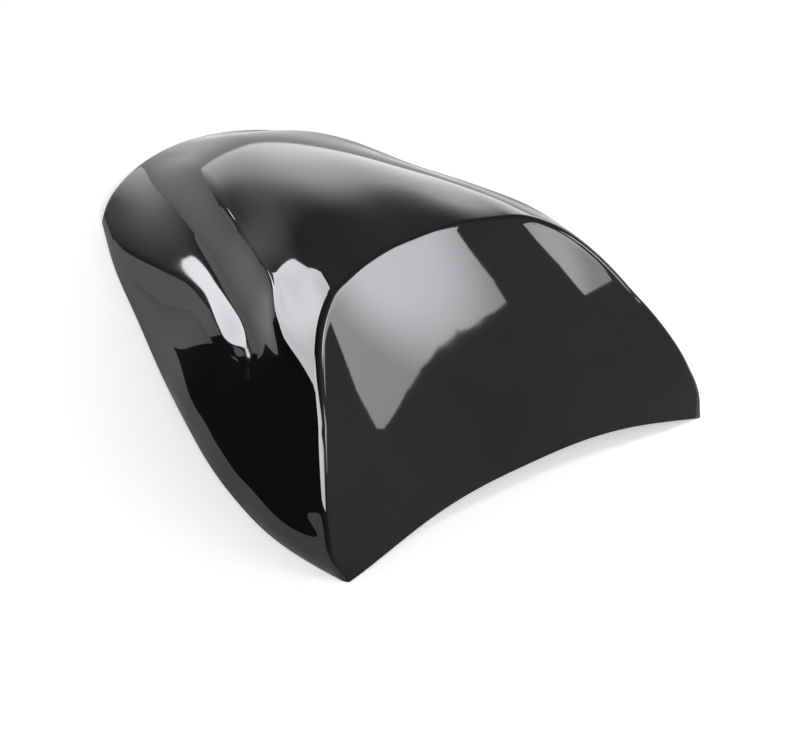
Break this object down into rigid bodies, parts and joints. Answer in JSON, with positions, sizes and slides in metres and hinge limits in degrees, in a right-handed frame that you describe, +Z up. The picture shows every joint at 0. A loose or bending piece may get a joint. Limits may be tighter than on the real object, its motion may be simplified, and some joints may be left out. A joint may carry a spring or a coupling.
{
  "type": "seat cowl",
  "caption": "Hollow moulded cowl that covers a motorbike's pillion seat, with a raked and hollowed rider face, a domed crown, raised side wings and a rounded tail; it screws down from below.",
  "frame": {"origin": "middle of the cowl's length and width, on the plane that its rim stands on", "axes": "X across the cowl, +Y from the rider's face to the tail, +Z up from the rim to the crown"},
  "size_m": [0.251, 0.3595, 0.0953],
  "materials": {
    "shell": "black paint under clear gloss lacquer outside, plain satin plastic inside"
  },
  "bodies": {
    "root": {"cowl_shell": "shell"}
  },
  "joints": []
}
